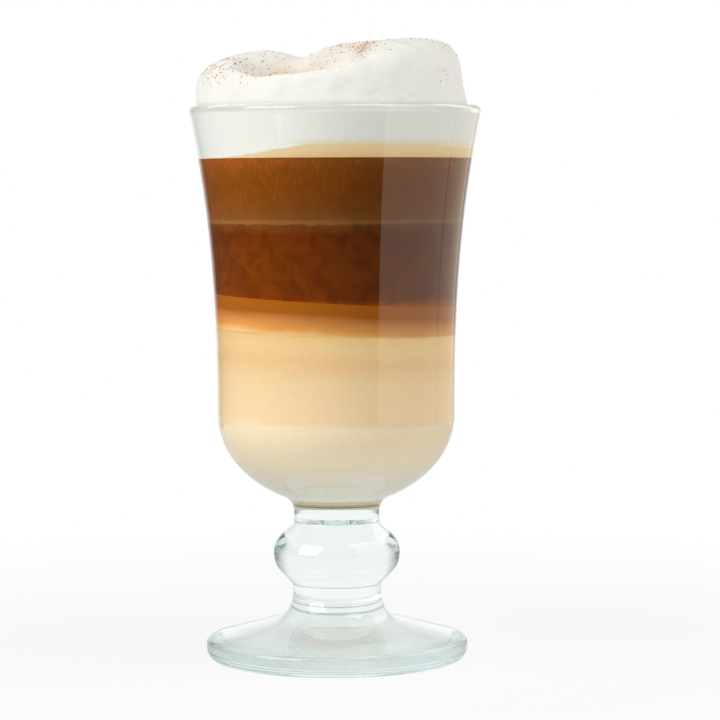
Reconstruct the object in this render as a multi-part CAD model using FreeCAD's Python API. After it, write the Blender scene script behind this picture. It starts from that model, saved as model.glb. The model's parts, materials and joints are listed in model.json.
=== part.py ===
"""Layered cappuccino in its footed glass, one solid for each separate piece.

The glass is one revolved solid: a foot with a hollow underside, a knop between two
necks, and a bowl whose side flares into a rounded lip. The drink stands in the bowl in
layers that share the bowl's inner wall and meet each other face to face. Milk foam
fills the rest of the bowl and rises over the lip as a lopsided head with a hollow.

Millimetres, +Z up, origin under the middle of the foot on the surface it stands on.
+X is to the drinker's right and -Y is the side that faces the drinker.
"""
import FreeCAD, Part
import math
import os

V = FreeCAD.Vector

# --- foot -------------------------------------------------------------------------
foot_radius = 34.9
foot_edge = 5.7             # height of the foot's outer edge
foot_edge_round_low = 3.4
foot_edge_round_top = 1.7
foot_slope = 0.28           # rise of the foot's top for each millimetre inwards
foot_neck_round = 7.0       # hollow curve from the foot's top into the lower neck
rest_ring_width = 2.2       # flat ring that the glass stands on
hollow_depth = 2.6          # hollow under the foot, at the middle

# --- stem: lower neck, knop, upper neck ---------------------------------------------
lower_neck_radius = 11.8
lower_neck_top = 20.4       # height of the crease under the knop
knop_radius = 16.85
knop_height = 16.5          # from the crease under it to the crease over it
knop_low_taper = 5.2        # height of the knop's lower, conical part
knop_top_taper = 5.4        # height of its upper, conical part
knop_round = 6.5            # so large that the knop is a barrel with hardly a straight side
upper_neck_radius = 11.4
upper_neck_height = 4.4     # from the crease over the knop to the lowest of the bowl
crease_round = 0.7          # the small hollow curves at both creases

# --- bowl ---------------------------------------------------------------------------
bowl_radius = 31.7          # the straight part of the side
bowl_height = 106.4         # from the lowest of the bowl, inside the neck, to the lip
bowl_base_height = 24.6     # the rounded base, up to where the side stands upright
bowl_flare = 7.4            # how much wider the lip is than the side
flare_power = 2.4           # how late the flare starts: 1 is a cone
neck_blend = 2.9            # how far the curve from the neck reaches along the base
wall = 2.3
base_thickness = 8.6        # glass under the drink
lip_round = 1.35            # radius of the rounded lip, a little thicker than the wall

# --- drink: depth of each layer at the middle, from the lip down ----------------------
head_space = 13.6           # from the lip down to the coffee, filled with crema and foam
coffee_depth = 17.0
espresso_depth = 20.6
blend_depth = 8.4
milk_depth = 14.2           # from the floor of the bowl up, so latte takes what is left

crema_depth = 2.1           # at the middle
crema_tilt = 2.4            # degrees: thickest towards the front
crema_turn = -75.0          # direction of its thickest side, in degrees from +X
espresso_tilt = 3.3         # degrees: the espresso sinks lowest on the right
blend_tilt = 2.2

# --- head of milk foam ----------------------------------------------------------------
foam_set_in = 1.35          # how far the head's upright side stands in from the wall
foam_lean = 1.65            # how far the head leans to the left
foam_height = 16.2          # over the lip, mean of the low left and the high right
foam_rise = 2.2             # right side higher and left side lower than that
foam_squareness = 4.65      # section of the head: 2 is an ellipse, more is boxier
foam_seat = 1.1             # gap between the lip's inside and the foot of the head
foam_sunk = 2.7             # how far the head's foot reaches down inside the lip
foam_seat_share = 1 / 7     # share of the head's section that this foot takes
foam_swell = 0.32           # share over which the head swells out above the lip
summit = (13.0, 3.0)        # where the head is highest
hollow_place = (-13.1, -23.3)
hollow_depth_top = 14.5
hollow_spread = (12.4, 11.6)
fold_place = (0.5, -29.5)   # the fold that runs from the hollow up to the right
fold_turn = 11.0            # degrees from +X
fold_depth = 5.2
fold_spread = (10.8, 7.5)
saddle_place = (-8.8, 4.0)  # a dip right across the top, between its two humps
saddle_depth = 2.7
saddle_spread = (5.2, 30.0)
dent_fade = 3.0             # how fast the dents fade out down the head's side

# --- how finely the formulas are followed ----------------------------------------------
side_stations = 4
base_stations = 5
foam_sheet_cells = 16

# --- heights and radii worked out from these -------------------------------------------
knop_top = lower_neck_top + knop_height
bowl_bottom = knop_top + upper_neck_height
bowl_shoulder = bowl_bottom + bowl_base_height
glass_height = bowl_bottom + bowl_height
lip_height = glass_height - lip_round
floor_height = bowl_bottom + base_thickness
coffee_level = glass_height - head_space
espresso_level = coffee_level - coffee_depth
blend_level = espresso_level - espresso_depth
latte_level = blend_level - blend_depth
milk_level = floor_height + milk_depth


def point(radius, height):
    """A point of the revolved section, in the XZ plane."""
    return V(radius, 0, height)


def line(start, end):
    return Part.makeLine(start, end)


def curve(points, way_in, way_out):
    """A smooth curve through the points, with its direction given at both ends."""
    spline = Part.BSplineCurve()
    spline.interpolate(Points=points, InitialTangent=way_in, FinalTangent=way_out)
    return spline.toShape()


def revolve(edges):
    """The solid that the closed section makes when it turns round the Z axis."""
    face = Part.Face(Part.Wire(edges))
    return face.revolve(V(0, 0, 0), V(0, 0, 1), 360)


def corner_arc(before, corner, after, radius):
    """The rounding of a corner: its two tangent points and the arc between them."""
    way_in = (before - corner).normalize()
    way_out = (after - corner).normalize()
    half = way_in.getAngle(way_out) / 2
    start = corner + way_in * (radius / math.tan(half))
    end = corner + way_out * (radius / math.tan(half))
    to_centre = (way_in + way_out).normalize()
    middle = corner + to_centre * (radius / math.sin(half) - radius)
    return start, end, Part.Arc(start, middle, end).toShape()


def rounded_line(corners):
    """Edges along the corners, a list of (point, radius), rounded where a radius is given."""
    edges = []
    pen = corners[0][0]
    for index in range(1, len(corners) - 1):
        corner, radius = corners[index]
        before, after = corners[index - 1][0], corners[index + 1][0]
        start, end, arc = corner_arc(before, corner, after, radius)
        edges += [line(pen, start), arc]
        pen = end
    edges.append(line(pen, corners[-1][0]))
    return edges


def side_radius(height, inset=0.0):
    """Radius of the bowl's upright side, which flares as a power of the height."""
    share = (height - bowl_shoulder) / (glass_height - bowl_shoulder)
    return bowl_radius + bowl_flare * share ** flare_power - inset


def side_slope(height):
    """Direction of the side, upwards, at a height."""
    span = glass_height - bowl_shoulder
    share = (height - bowl_shoulder) / span
    return V(bowl_flare * flare_power * share ** (flare_power - 1) / span, 0, 1)


def base_point(angle, inset, lowest):
    """A point of the bowl's elliptical base: 0 degrees at the shoulder, 90 at the axis."""
    turn = math.radians(angle)
    depth = bowl_shoulder - lowest
    return point((bowl_radius - inset) * math.cos(turn), bowl_shoulder - depth * math.sin(turn))


def base_slope(angle, inset, lowest):
    """Direction of the base, towards the shoulder, at an angle."""
    turn = math.radians(angle)
    depth = bowl_shoulder - lowest
    return V((bowl_radius - inset) * math.sin(turn), 0, depth * math.cos(turn))


def bowl_wall(steepest, inset, lowest):
    """One face of the bowl's wall: the base's curve and the side's, which meet upright."""
    angles = [steepest * (1 - index / base_stations) for index in range(base_stations + 1)]
    base = [base_point(angle, inset, lowest) for angle in angles]
    step = (lip_height - bowl_shoulder) / side_stations
    heights = [bowl_shoulder + step * index for index in range(side_stations + 1)]
    side = [point(side_radius(height, inset), height) for height in heights]
    upright = V(0, 0, 1)
    edges = [
        curve(base, base_slope(steepest, inset, lowest), upright),
        curve(side, upright, side_slope(lip_height)),
    ]
    return edges, base[0], side[-1]


def underside():
    """The hollow under the foot and the flat ring that the glass stands on."""
    ring_outer = foot_radius - foot_edge_round_low
    ring_inner = ring_outer - rest_ring_width
    dome = (ring_inner ** 2 + hollow_depth ** 2) / (2 * hollow_depth)
    half = math.asin(ring_inner / dome) / 2
    crown = point(0, hollow_depth)
    halfway = point(dome * math.sin(half), hollow_depth - dome * (1 - math.cos(half)))
    hollow = Part.Arc(crown, halfway, point(ring_inner, 0)).toShape()
    return hollow, point(ring_inner, 0)


def stem_and_foot(ring_start, neck_end):
    """Outline from the standing ring, over the foot and the knop, up to the bowl."""
    foot_top_at_neck = foot_edge + (foot_radius - lower_neck_radius) * foot_slope
    return rounded_line([
        (ring_start, 0),
        (point(foot_radius, 0), foot_edge_round_low),
        (point(foot_radius, foot_edge), foot_edge_round_top),
        (point(lower_neck_radius, foot_top_at_neck), foot_neck_round),
        (point(lower_neck_radius, lower_neck_top), crease_round),
        (point(knop_radius, lower_neck_top + knop_low_taper), knop_round),
        (point(knop_radius, knop_top - knop_top_taper), knop_round),
        (point(upper_neck_radius, knop_top), crease_round),
        (neck_end, 0),
    ])


def neck_to_bowl():
    """The curve from the upper neck into the bowl's base, tangent to both."""
    reach = upper_neck_radius + neck_blend
    angle = math.degrees(math.acos(reach / bowl_radius))
    on_bowl = base_point(angle, 0, bowl_bottom)
    way = base_slope(angle, 0, bowl_bottom)
    corner = point(upper_neck_radius, on_bowl.z - neck_blend * way.z / way.x)
    tangent = (on_bowl - corner).Length
    on_neck = point(upper_neck_radius, corner.z - tangent)
    half = (on_bowl - corner).getAngle(on_neck - corner) / 2
    radius = tangent * math.tan(half)
    return angle, corner_arc(on_neck, corner, on_bowl, radius)


def make_glass():
    hollow, ring_start = underside()
    angle, (neck_end, _, blend) = neck_to_bowl()
    outer, _, outer_top = bowl_wall(angle, 0, bowl_bottom)
    inner, floor_middle, inner_top = bowl_wall(90, wall, floor_height)
    lip_middle = point((outer_top.x + inner_top.x) / 2, glass_height)
    lip = Part.Arc(outer_top, lip_middle, inner_top).toShape()
    edges = [hollow] + stem_and_foot(ring_start, neck_end) + [blend] + outer + [lip]
    edges += inner[::-1] + [line(floor_middle, point(0, hollow_depth))]
    return revolve(edges)


def contents():
    """Everything inside the wall, from the floor of the bowl up to the lip."""
    inner, floor_middle, inner_top = bowl_wall(90, wall, floor_height)
    middle_top = point(0, lip_height)
    return revolve(inner + [line(inner_top, middle_top), line(middle_top, floor_middle)])


def slab(low, high):
    """A block, wider than the bowl, between two planes given as (height, tilt, direction)."""
    half = bowl_radius + bowl_height
    rings = []
    for height, tilt, turn in (low, high):
        fall = math.tan(math.radians(tilt))
        aim = V(math.cos(math.radians(turn)), math.sin(math.radians(turn)), 0)
        corners = [V(x, y, 0) for x, y in ((-half, -half), (half, -half), (half, half), (-half, half))]
        ring = [V(c.x, c.y, height + fall * c.dot(aim)) for c in corners]
        rings.append(Part.makePolygon(ring + ring[:1]))
    return Part.makeLoft(rings, True, True)


def make_layers(filling):
    """The drink's layers: each is the filling cut out between two planes."""
    bottom = (floor_height - base_thickness, 0, 0)
    milk_top = (milk_level, 0, 0)
    latte_top = (latte_level, blend_tilt, 180)
    blend_top = (blend_level, espresso_tilt, 180)
    espresso_top = (espresso_level, 0, 0)
    coffee_top = (coffee_level, 0, 0)
    crema_top = (coffee_level + crema_depth, crema_tilt, crema_turn)
    planes = {
        "milk": (bottom, milk_top),
        "latte": (milk_top, latte_top),
        "milky_coffee": (latte_top, blend_top),
        "espresso": (blend_top, espresso_top),
        "coffee": (espresso_top, coffee_top),
        "crema": (coffee_top, crema_top),
    }
    layers = {name: filling.common(slab(low, high)) for name, (low, high) in planes.items()}
    over_crema = (glass_height + foam_height, 0, 0)
    foam_in_glass = filling.common(slab(crema_top, over_crema))
    return layers, foam_in_glass


def dent(x, y, place, depth, spread, turn=0.0):
    """Depth of a smooth dent, a bell curve `depth` deep at its place and turned from +X."""
    cos, sin = math.cos(math.radians(turn)), math.sin(math.radians(turn))
    x, y = x - place[0], y - place[1]
    across = (x * cos + y * sin) / spread[0]
    along = (y * cos - x * sin) / spread[1]
    return depth * math.exp(-across * across - along * along)


def foam_point(rise, turn):
    """A point on the foam's head: rise 1 at the summit, 0 at the lip, less inside it.

    Its section is a squared ellipse of squareness n, |x/a|^n + |z/h|^n = 1. The middle
    of each level moves from the glass's axis to the summit, and the dents are taken off.
    """
    slant = math.radians(90 * max(rise, 0.0))
    power = foam_squareness
    scale = (math.cos(slant) ** power + math.sin(slant) ** power) ** (-1 / power)
    out = scale * math.cos(slant)
    up = scale * math.sin(slant)
    inside = side_radius(lip_height, wall)
    seat = inside - foam_seat
    side = inside - foam_set_in - foam_lean * math.cos(turn)
    share = min(max(rise / foam_swell, 0.0), 1.0)
    swell = share * share * (3 - 2 * share)
    radius = seat + (side - seat) * swell
    x = summit[0] * (1 - out) + radius * out * math.cos(turn)
    y = summit[1] * (1 - out) + radius * out * math.sin(turn)
    height = (foam_height + foam_rise * x / inside) * up
    dents = dent(x, y, hollow_place, hollow_depth_top, hollow_spread)
    dents += dent(x, y, fold_place, fold_depth, fold_spread, fold_turn)
    dents += dent(x, y, saddle_place, saddle_depth, saddle_spread)
    sunk = foam_sunk * min(rise, 0.0) / foam_seat_share
    return V(x, y, glass_height + height + sunk - dents * up ** dent_fade)


def draped_point(u, v):
    """Where a point of a square sheet, -1 to 1 both ways, lies once draped on the head."""
    across = u * math.sqrt(1 - v * v / 2)
    along = v * math.sqrt(1 - u * u / 2)
    share = math.hypot(across, along)
    return foam_point(1 - share * (1 + foam_seat_share), math.atan2(along, across))


def make_foam_head():
    """The head: a smooth sheet draped over the formula, closed by a level floor."""
    marks = [2 * index / foam_sheet_cells - 1 for index in range(foam_sheet_cells + 1)]
    sheet = Part.BSplineSurface()
    sheet.interpolate([[draped_point(u, v) for v in marks] for u in marks])
    skin = sheet.toShape()
    floor = Part.Face(Part.Wire(Part.sortEdges(skin.Edges)[0]))
    return Part.makeSolid(Part.makeShell([skin, floor]))


def main():
    os.makedirs("parts", exist_ok=True)
    glass = make_glass()
    layers, foam_in_glass = make_layers(contents())
    foam = foam_in_glass.fuse(make_foam_head())
    pieces = {"glass": glass, **layers, "milk_foam": foam}
    for name, shape in pieces.items():
        solid = shape.Solids[0]
        solid.exportStep(f"parts/{name}.step")
        print(name, "valid" if shape.isValid() else "NOT VALID", len(shape.Solids),
              f"{shape.Volume / 1000:.1f} ml", shape.BoundBox)


main()
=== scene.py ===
"""The cappuccino's looks, built on its packed frame: clear glass, the layers of the drink,
the head of milk foam and the cinnamon dust on it.

Every piece is a surface worked out with numpy from named sizes. The frame and the settings are
in metres. Values whose names or comments say mm are millimetres, from the glass's axis and the
floor: x to the right, y to the back, as the drinker sees it.
"""

import json
import math

import bpy
import numpy as np
from mathutils import Matrix
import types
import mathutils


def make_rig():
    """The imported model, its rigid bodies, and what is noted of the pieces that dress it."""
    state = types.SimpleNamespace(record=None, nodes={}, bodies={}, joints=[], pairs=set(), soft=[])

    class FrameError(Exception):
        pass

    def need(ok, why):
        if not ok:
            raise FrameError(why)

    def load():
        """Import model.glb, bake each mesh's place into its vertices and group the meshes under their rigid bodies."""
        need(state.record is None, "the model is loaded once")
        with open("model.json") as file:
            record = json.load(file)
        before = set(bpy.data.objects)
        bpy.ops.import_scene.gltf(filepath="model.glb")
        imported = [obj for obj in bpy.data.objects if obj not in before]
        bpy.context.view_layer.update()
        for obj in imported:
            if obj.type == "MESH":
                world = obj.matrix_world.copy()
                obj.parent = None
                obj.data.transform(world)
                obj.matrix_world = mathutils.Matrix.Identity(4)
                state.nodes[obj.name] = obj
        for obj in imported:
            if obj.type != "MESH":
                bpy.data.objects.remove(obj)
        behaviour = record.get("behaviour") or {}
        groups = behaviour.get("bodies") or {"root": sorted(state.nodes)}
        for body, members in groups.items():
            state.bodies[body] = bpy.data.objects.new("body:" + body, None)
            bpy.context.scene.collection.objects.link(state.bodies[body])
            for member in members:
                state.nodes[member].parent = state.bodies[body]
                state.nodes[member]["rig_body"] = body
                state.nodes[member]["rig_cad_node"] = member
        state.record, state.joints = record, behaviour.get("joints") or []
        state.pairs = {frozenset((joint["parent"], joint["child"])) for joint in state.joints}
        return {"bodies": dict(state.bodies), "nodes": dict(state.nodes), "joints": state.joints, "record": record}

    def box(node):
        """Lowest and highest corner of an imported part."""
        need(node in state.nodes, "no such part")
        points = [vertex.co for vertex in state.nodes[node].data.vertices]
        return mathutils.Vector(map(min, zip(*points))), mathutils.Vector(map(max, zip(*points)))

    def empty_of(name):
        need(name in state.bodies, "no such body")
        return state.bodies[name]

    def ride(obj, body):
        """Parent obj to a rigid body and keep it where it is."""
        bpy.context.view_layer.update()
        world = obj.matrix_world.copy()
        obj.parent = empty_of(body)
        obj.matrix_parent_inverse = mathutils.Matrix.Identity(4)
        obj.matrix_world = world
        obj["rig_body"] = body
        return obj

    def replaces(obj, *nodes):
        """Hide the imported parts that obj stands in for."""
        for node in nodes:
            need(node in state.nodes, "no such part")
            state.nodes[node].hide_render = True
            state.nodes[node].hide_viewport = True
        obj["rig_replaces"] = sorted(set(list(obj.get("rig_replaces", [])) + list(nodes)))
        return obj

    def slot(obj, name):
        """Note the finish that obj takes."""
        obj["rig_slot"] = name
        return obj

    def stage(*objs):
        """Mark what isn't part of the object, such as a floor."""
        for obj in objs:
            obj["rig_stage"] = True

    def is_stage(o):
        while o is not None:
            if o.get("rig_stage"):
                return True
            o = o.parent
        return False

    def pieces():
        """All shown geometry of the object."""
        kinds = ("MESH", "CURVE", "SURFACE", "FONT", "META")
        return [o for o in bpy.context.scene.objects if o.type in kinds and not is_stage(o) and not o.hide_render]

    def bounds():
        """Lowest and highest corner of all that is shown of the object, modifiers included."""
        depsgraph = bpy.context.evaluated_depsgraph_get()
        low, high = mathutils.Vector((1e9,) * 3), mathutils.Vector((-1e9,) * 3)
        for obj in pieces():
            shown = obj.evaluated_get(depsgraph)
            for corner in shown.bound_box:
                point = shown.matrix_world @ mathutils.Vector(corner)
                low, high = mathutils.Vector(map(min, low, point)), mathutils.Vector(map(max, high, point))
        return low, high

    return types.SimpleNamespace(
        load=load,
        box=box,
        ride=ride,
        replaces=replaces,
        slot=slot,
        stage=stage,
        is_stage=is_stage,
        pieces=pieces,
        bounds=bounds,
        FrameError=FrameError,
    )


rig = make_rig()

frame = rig.load()
CAD_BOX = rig.bounds()

bl_info = {
    "name": "Layered cappuccino",
    "version": (1, 0, 0),
    "blender": (4, 5, 0),
    "location": "3D View > Sidebar > Cappuccino",
    "description": "Builds the glass, the drink, the milk foam and the cinnamon of a cappuccino",
    "category": "Object",
}

MM = 0.001

# --- levels read from the frame ---
GLASS_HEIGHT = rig.box("glass")[1].z
FLOOR_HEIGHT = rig.box("milk")[0].z
MILK_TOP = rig.box("milk")[1].z
ESPRESSO_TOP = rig.box("coffee")[0].z
COFFEE_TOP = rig.box("coffee")[1].z
LATTE_TOP = sum(corner.z for corner in (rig.box("milky_coffee")[0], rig.box("latte")[1])) / 2
BLEND_TOP = sum(corner.z for corner in (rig.box("espresso")[0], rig.box("milky_coffee")[1])) / 2

# a plane that parts two layers: height at the axis, slope, and the direction it rises in
BOWL_FLOOR = (FLOOR_HEIGHT, 0.0, 0.0)

# --- the hollow under the glass's foot, left uneven by the mould ---
FOOT_WAVES = (0.08, 9.0, 21)                    # height, size, seed of the waves

# --- the head of foam: places, spreads and depths in mm ---
SEAT_BELOW_LIP = 0.6        # where the head starts, under the lip's rounding
SEAT_REACH = 0.1            # how far its foot reaches into the wall
SEAT_FILLET = 2.9           # height over which its side leaves the wall, more at the right
SUMMIT = (13.0, 3.0)
HOLLOW = {"place": (-14.7, -21.6), "spread": (9.7, 11.4), "power": 1.5}
FOLD = {"place": (-2.7, -26.7), "spread": (10.4, 10.8), "turned": 20.0}
SADDLE = {"place": (-8.7, 4.0), "spread": (5.8, 30.0)}
HOLLOW_DEPTH, FOLD_DEPTH, SADDLE_DEPTH = 12.3, 9.1, 2.9
FOLD_LOST_IN_HOLLOW = 0.7
SWELLS = ((0.2, 7.0, 11), (0.08, 2.6, 12))      # height, size, seed of the waves

# --- cinnamon: places and spreads in mm ---
STAINED_FOLD = {"place": (0.0, -15.0), "spread": (14.0, 6.0), "turned": 12.0}
CLOTS = ((7.5, -18.0), (-6.0, -22.0))
CLOT_SPREAD = (2.2, 2.6)
DUST_PATCHES = (
    # x, y, spread in x, spread in y, density
    (16.0, -4.0, 12.0, 7.0, 1.4), (7.5, -18.0, 2.4, 6.0, 7.0), (-2.0, -14.0, 8.0, 5.0, 1.4),
    (-30.0, -14.0, 5.0, 9.0, 1.1), (-17.0, -14.0, 10.0, 8.0, 2.4), (-13.0, -27.0, 7.0, 2.0, 1.2),
    (-6.0, -22.0, 2.5, 4.0, 3.0), (-12.0, 6.0, 12.0, 8.0, 0.6), (8.0, 12.0, 18.0, 10.0, 0.8),
    (0.0, -6.0, 34.0, 28.0, 0.12),
)

# --- the studio: angles in degrees, lengths in metres ---
LAMPS = (
    # name, azimuth, elevation, distance, width, height, radiance, tint, shines on the drink
    ("key_window", -55, 25, 1.2, 0.9, 0.9, 4.0, "#ffffff", True),
    ("side_softbox", 62, 64, 1.0, 0.6, 0.6, 2.6, "#ffffff", True),
    ("white_card", 76, 4, 0.9, 1.3, 1.6, 0.55, "#ffffff", True),
    ("card_gleam", 76, 4, 0.92, 1.33, 1.64, 0.5, "#ffecc6", False),
    ("back_card", 132, 4, 0.9, 0.66, 1.6, 1.0, "#fff2dc", False),
)


# --- settings ---
def length(name, description, millimetres):
    """A length setting, shown in the scene's unit."""
    return bpy.props.FloatProperty(name=name, description=description, default=millimetres * MM,
                                   unit="LENGTH", subtype="DISTANCE", precision=5)


def angle(name, description, degrees):
    """An angle setting."""
    return bpy.props.FloatProperty(name=name, description=description,
                                   default=math.radians(degrees), unit="ROTATION", subtype="ANGLE")


def linear(hex_colour):
    """An sRGB hex colour as linear red, green and blue."""
    values = np.array([int(hex_colour[i:i + 2], 16) for i in (1, 3, 5)]) / 255
    return tuple(np.where(values <= 0.04045, values / 12.92, ((values + 0.055) / 1.055) ** 2.4))


def colour(name, description, hex_colour):
    """A colour setting, kept as linear values."""
    return bpy.props.FloatVectorProperty(name=name, description=description, size=3, min=0, max=1,
                                         default=linear(hex_colour), subtype="COLOR")


class CAPPUCCINO_PG_glass(bpy.types.PropertyGroup):
    """Sizes and tint of the footed glass."""
    foot_radius: length("Foot radius", "Radius of the foot's edge", 34.9)
    foot_edge: length("Foot edge", "Height of the foot's edge", 5.7)
    foot_edge_round_low: length("Foot edge, low rounding", "Rounding under the foot's edge", 3.4)
    foot_edge_round_top: length("Foot edge, top rounding", "Rounding over the foot's edge", 1.7)
    foot_slope: bpy.props.FloatProperty(name="Foot slope", default=0.28,
                                        description="Rise of the foot's top for its run inwards")
    foot_neck_round: length("Foot to neck", "Hollow curve from the foot into the neck", 7.0)
    rest_ring_width: length("Rest ring", "Width of the ring the glass stands on", 2.2)
    hollow_depth: length("Hollow depth", "Depth of the hollow under the foot", 2.6)
    lower_neck_radius: length("Lower neck radius", "Radius of the neck under the knop", 11.8)
    lower_neck_top: length("Lower neck top", "Height of the crease under the knop", 20.4)
    knop_radius: length("Knop radius", "Radius of the knop", 16.85)
    knop_height: length("Knop height", "From the crease under the knop to the one over it", 16.5)
    knop_low_taper: length("Knop, low taper", "Height of the knop's lower cone", 5.2)
    knop_top_taper: length("Knop, top taper", "Height of the knop's upper cone", 5.4)
    knop_round: length("Knop rounding", "Rounding of the knop's edges", 6.5)
    upper_neck_radius: length("Upper neck radius", "Radius of the neck over the knop", 11.4)
    upper_neck_height: length("Upper neck height", "From the crease to the bowl's lowest", 4.4)
    crease_round: length("Crease rounding", "Rounding of the creases at the knop", 0.7)
    bowl_radius: length("Bowl radius", "Radius of the bowl's straight side", 31.7)
    bowl_base_height: length("Bowl base", "Height of the bowl's rounded base", 24.6)
    bowl_flare: length("Flare", "How much wider the lip is than the side", 7.4)
    flare_power: bpy.props.FloatProperty(name="Flare power", default=2.4,
                                         description="How late the flare starts; 1 is a cone")
    neck_blend: length("Neck blend", "Reach of the curve from the neck into the bowl", 2.9)
    wall: length("Wall", "Thickness of the bowl's wall", 2.3)
    lip_round: length("Lip rounding", "Radius of the rounded lip", 1.35)
    tint: colour("Tint", "What colour a thick piece of the glass lets through", "#a7d6d2")


class CAPPUCCINO_PG_drink(bpy.types.PropertyGroup):
    """Colours and levels of the layers in the glass."""
    reach: length("Reach into the wall", "How far the drink reaches into the wall, so no gap shows",
                  0.1)
    espresso_tilt: angle("Espresso tilt", "Slope of the espresso's underside", 3.3)
    blend_tilt: angle("Blend tilt", "Slope of the milky coffee's underside", 2.2)
    crema_depth: length("Crema depth", "Depth of the crema at the middle", 2.1)
    crema_tilt: angle("Crema tilt", "Slope of the crema's top", 2.4)
    crema_turn: angle("Crema turn", "Direction of the crema's thickest side", -75.0)
    milk: colour("Milk", "Milk at the bottom of the glass", "#fae2bd")
    latte: colour("Latte", "Creamy milk over the plain milk", "#f7d5a2")
    amber: colour("Milky coffee", "Where the milk and the espresso meet", "#a25815")
    espresso: colour("Espresso", "Dark layer in the middle", "#692f01")
    coffee: colour("Coffee", "Thinner coffee under the foam", "#713904")
    crema: colour("Crema", "Tan froth under the foam", "#edcd99")


class CAPPUCCINO_PG_foam(bpy.types.PropertyGroup):
    """Form and colour of the head of milk foam."""
    set_in: length("Set in", "How far the head stands in from the wall", 1.35)
    lean: length("Lean", "How far the head leans to the left", 1.65)
    height: length("Height", "Mean height over the lip", 16.2)
    rise: length("Rise", "How much higher the right side is", 1.9)
    squareness: bpy.props.FloatProperty(name="Squareness", default=4.73,
                                        description="2 is an ellipse, more is boxier")
    foam: colour("Foam", "Milk foam", "#f4f3ec")
    shade: colour("Cinnamon stain", "Tint of foam that has soaked up cinnamon", "#cfa268")


class CAPPUCCINO_PG_dust(bpy.types.PropertyGroup):
    """The cinnamon on the foam."""
    grains: bpy.props.IntProperty(name="Grains", description="How many grains lie on the foam",
                                  default=2600, min=1)
    smallest: length("Smallest grain", "Width of the smallest grains", 0.2)
    largest: length("Largest grain", "Width of the largest grains", 0.8)
    light: colour("Light grains", "Cinnamon grains that catch the light", "#e59a48")
    dark: colour("Dark grains", "Dark cinnamon grains", "#96541f")


# --- mesh helpers ---
SHARP_EDGE = math.radians(40)


def bend(before, corner, after, radius, count=14):
    """Points of the arc that rounds a corner: the arc touches both sides at
    radius / tan(half the corner's angle) from the corner."""
    before, corner, after = (np.array(p, float) for p in (before, corner, after))
    way_in = (before - corner) / np.linalg.norm(before - corner)
    way_out = (after - corner) / np.linalg.norm(after - corner)
    half = math.acos(np.clip(way_in @ way_out, -1, 1)) / 2
    middle = (way_in + way_out) / np.linalg.norm(way_in + way_out)
    centre = corner + middle * radius / math.sin(half)
    start = corner + way_in * radius / math.tan(half) - centre
    end = corner + way_out * radius / math.tan(half) - centre
    sweep = math.atan2(start[0] * end[1] - start[1] * end[0], start @ end)
    turn = np.linspace(0, sweep, count)[:, None]
    across = np.array([-start[1], start[0]])
    return centre + start * np.cos(turn) + across * np.sin(turn)


def ring_turns(count):
    """Evenly spaced angles round the axis."""
    return np.arange(count) * 2 * math.pi / count


def revolve_grid(radius, height, turns):
    """Points of a turned surface: x = r cos t, y = r sin t, z = height. radius and height are
    rows of one profile, or whole grids of rows by turns."""
    radius, height, turns = np.broadcast_arrays(radius, height, turns)
    return np.stack([radius * np.cos(turns), radius * np.sin(turns), height], axis=-1)


def closed_surface(name, start_pole, grid, end_pole, material):
    """A closed mesh from a grid of rings (rows, turns, 3) between two pole points. The rings run
    from the underside outwards and up, so that the faces point outwards."""
    rows, turns, _ = grid.shape
    points = np.concatenate([[start_pole], grid.reshape(-1, 3), [end_pole]])
    here = np.arange(turns)
    there = (here + 1) % turns
    ring = 1 + np.arange(rows - 1)[:, None] * turns
    quads = np.stack([ring + here, ring + there, ring + turns + there, ring + turns + here], -1)
    first = np.stack([np.zeros(turns, int), 1 + there, 1 + here], -1)
    last_ring = 1 + (rows - 1) * turns
    last = np.stack([last_ring + here, last_ring + there, np.full(turns, len(points) - 1)], -1)
    corners = np.concatenate([first.ravel(), quads.reshape(-1), last.ravel()])
    sizes = np.concatenate([np.full(turns, 3), np.full(quads.size // 4, 4), np.full(turns, 3)])
    return mesh_object(name, points, corners, sizes, material)


def mesh_object(name, points, corners, sizes, material):
    """A smooth mesh object at the origin from points, the corners of its faces one after
    another, and how many corners each face has."""
    old = bpy.data.objects.get(name)
    if old:
        bpy.data.objects.remove(old)
    mesh = bpy.data.meshes.new(name)
    mesh.vertices.add(len(points))
    mesh.vertices.foreach_set("co", np.asarray(points, np.float32).ravel())
    mesh.loops.add(len(corners))
    mesh.loops.foreach_set("vertex_index", np.asarray(corners, np.int32))
    mesh.polygons.add(len(sizes))
    starts = np.concatenate([[0], np.cumsum(sizes)[:-1]])
    mesh.polygons.foreach_set("loop_start", np.asarray(starts, np.int32))
    mesh.polygons.foreach_set("use_smooth", np.ones(len(sizes), bool))
    mesh.materials.append(material)
    mesh.update(calc_edges=True)
    if mesh.validate():
        raise RuntimeError(f"the mesh of {name} has faults")
    mesh.set_sharp_from_angle(angle=SHARP_EDGE)
    made = bpy.data.objects.new(name, mesh)
    bpy.context.scene.collection.objects.link(made)
    return made


def put_on(mesh, name, values):
    """Stores one number for each point as the mesh's own attribute."""
    attribute = mesh.attributes.new(name, "FLOAT", "POINT")
    attribute.data.foreach_set("value", np.asarray(values, np.float32).ravel())


def stand_for(piece, node, slot):
    """The piece rides on the one body, is shown for the node and takes that slot's finish."""
    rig.ride(piece, "root")
    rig.replaces(piece, node)
    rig.slot(piece, slot)


# --- the glass's outline ---
def shoulder(g):
    """Height where the bowl's rounded base passes into its side."""
    return g.lower_neck_top + g.knop_height + g.upper_neck_height + g.bowl_base_height


def side_radius(g, height):
    """Outer radius of the bowl's side: radius + flare * share ** power, where share runs from
    0 at the shoulder to 1 at the lip."""
    share = np.clip((height - shoulder(g)) / (GLASS_HEIGHT - shoulder(g)), 0, None)
    return g.bowl_radius + g.bowl_flare * share ** g.flare_power


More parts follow.
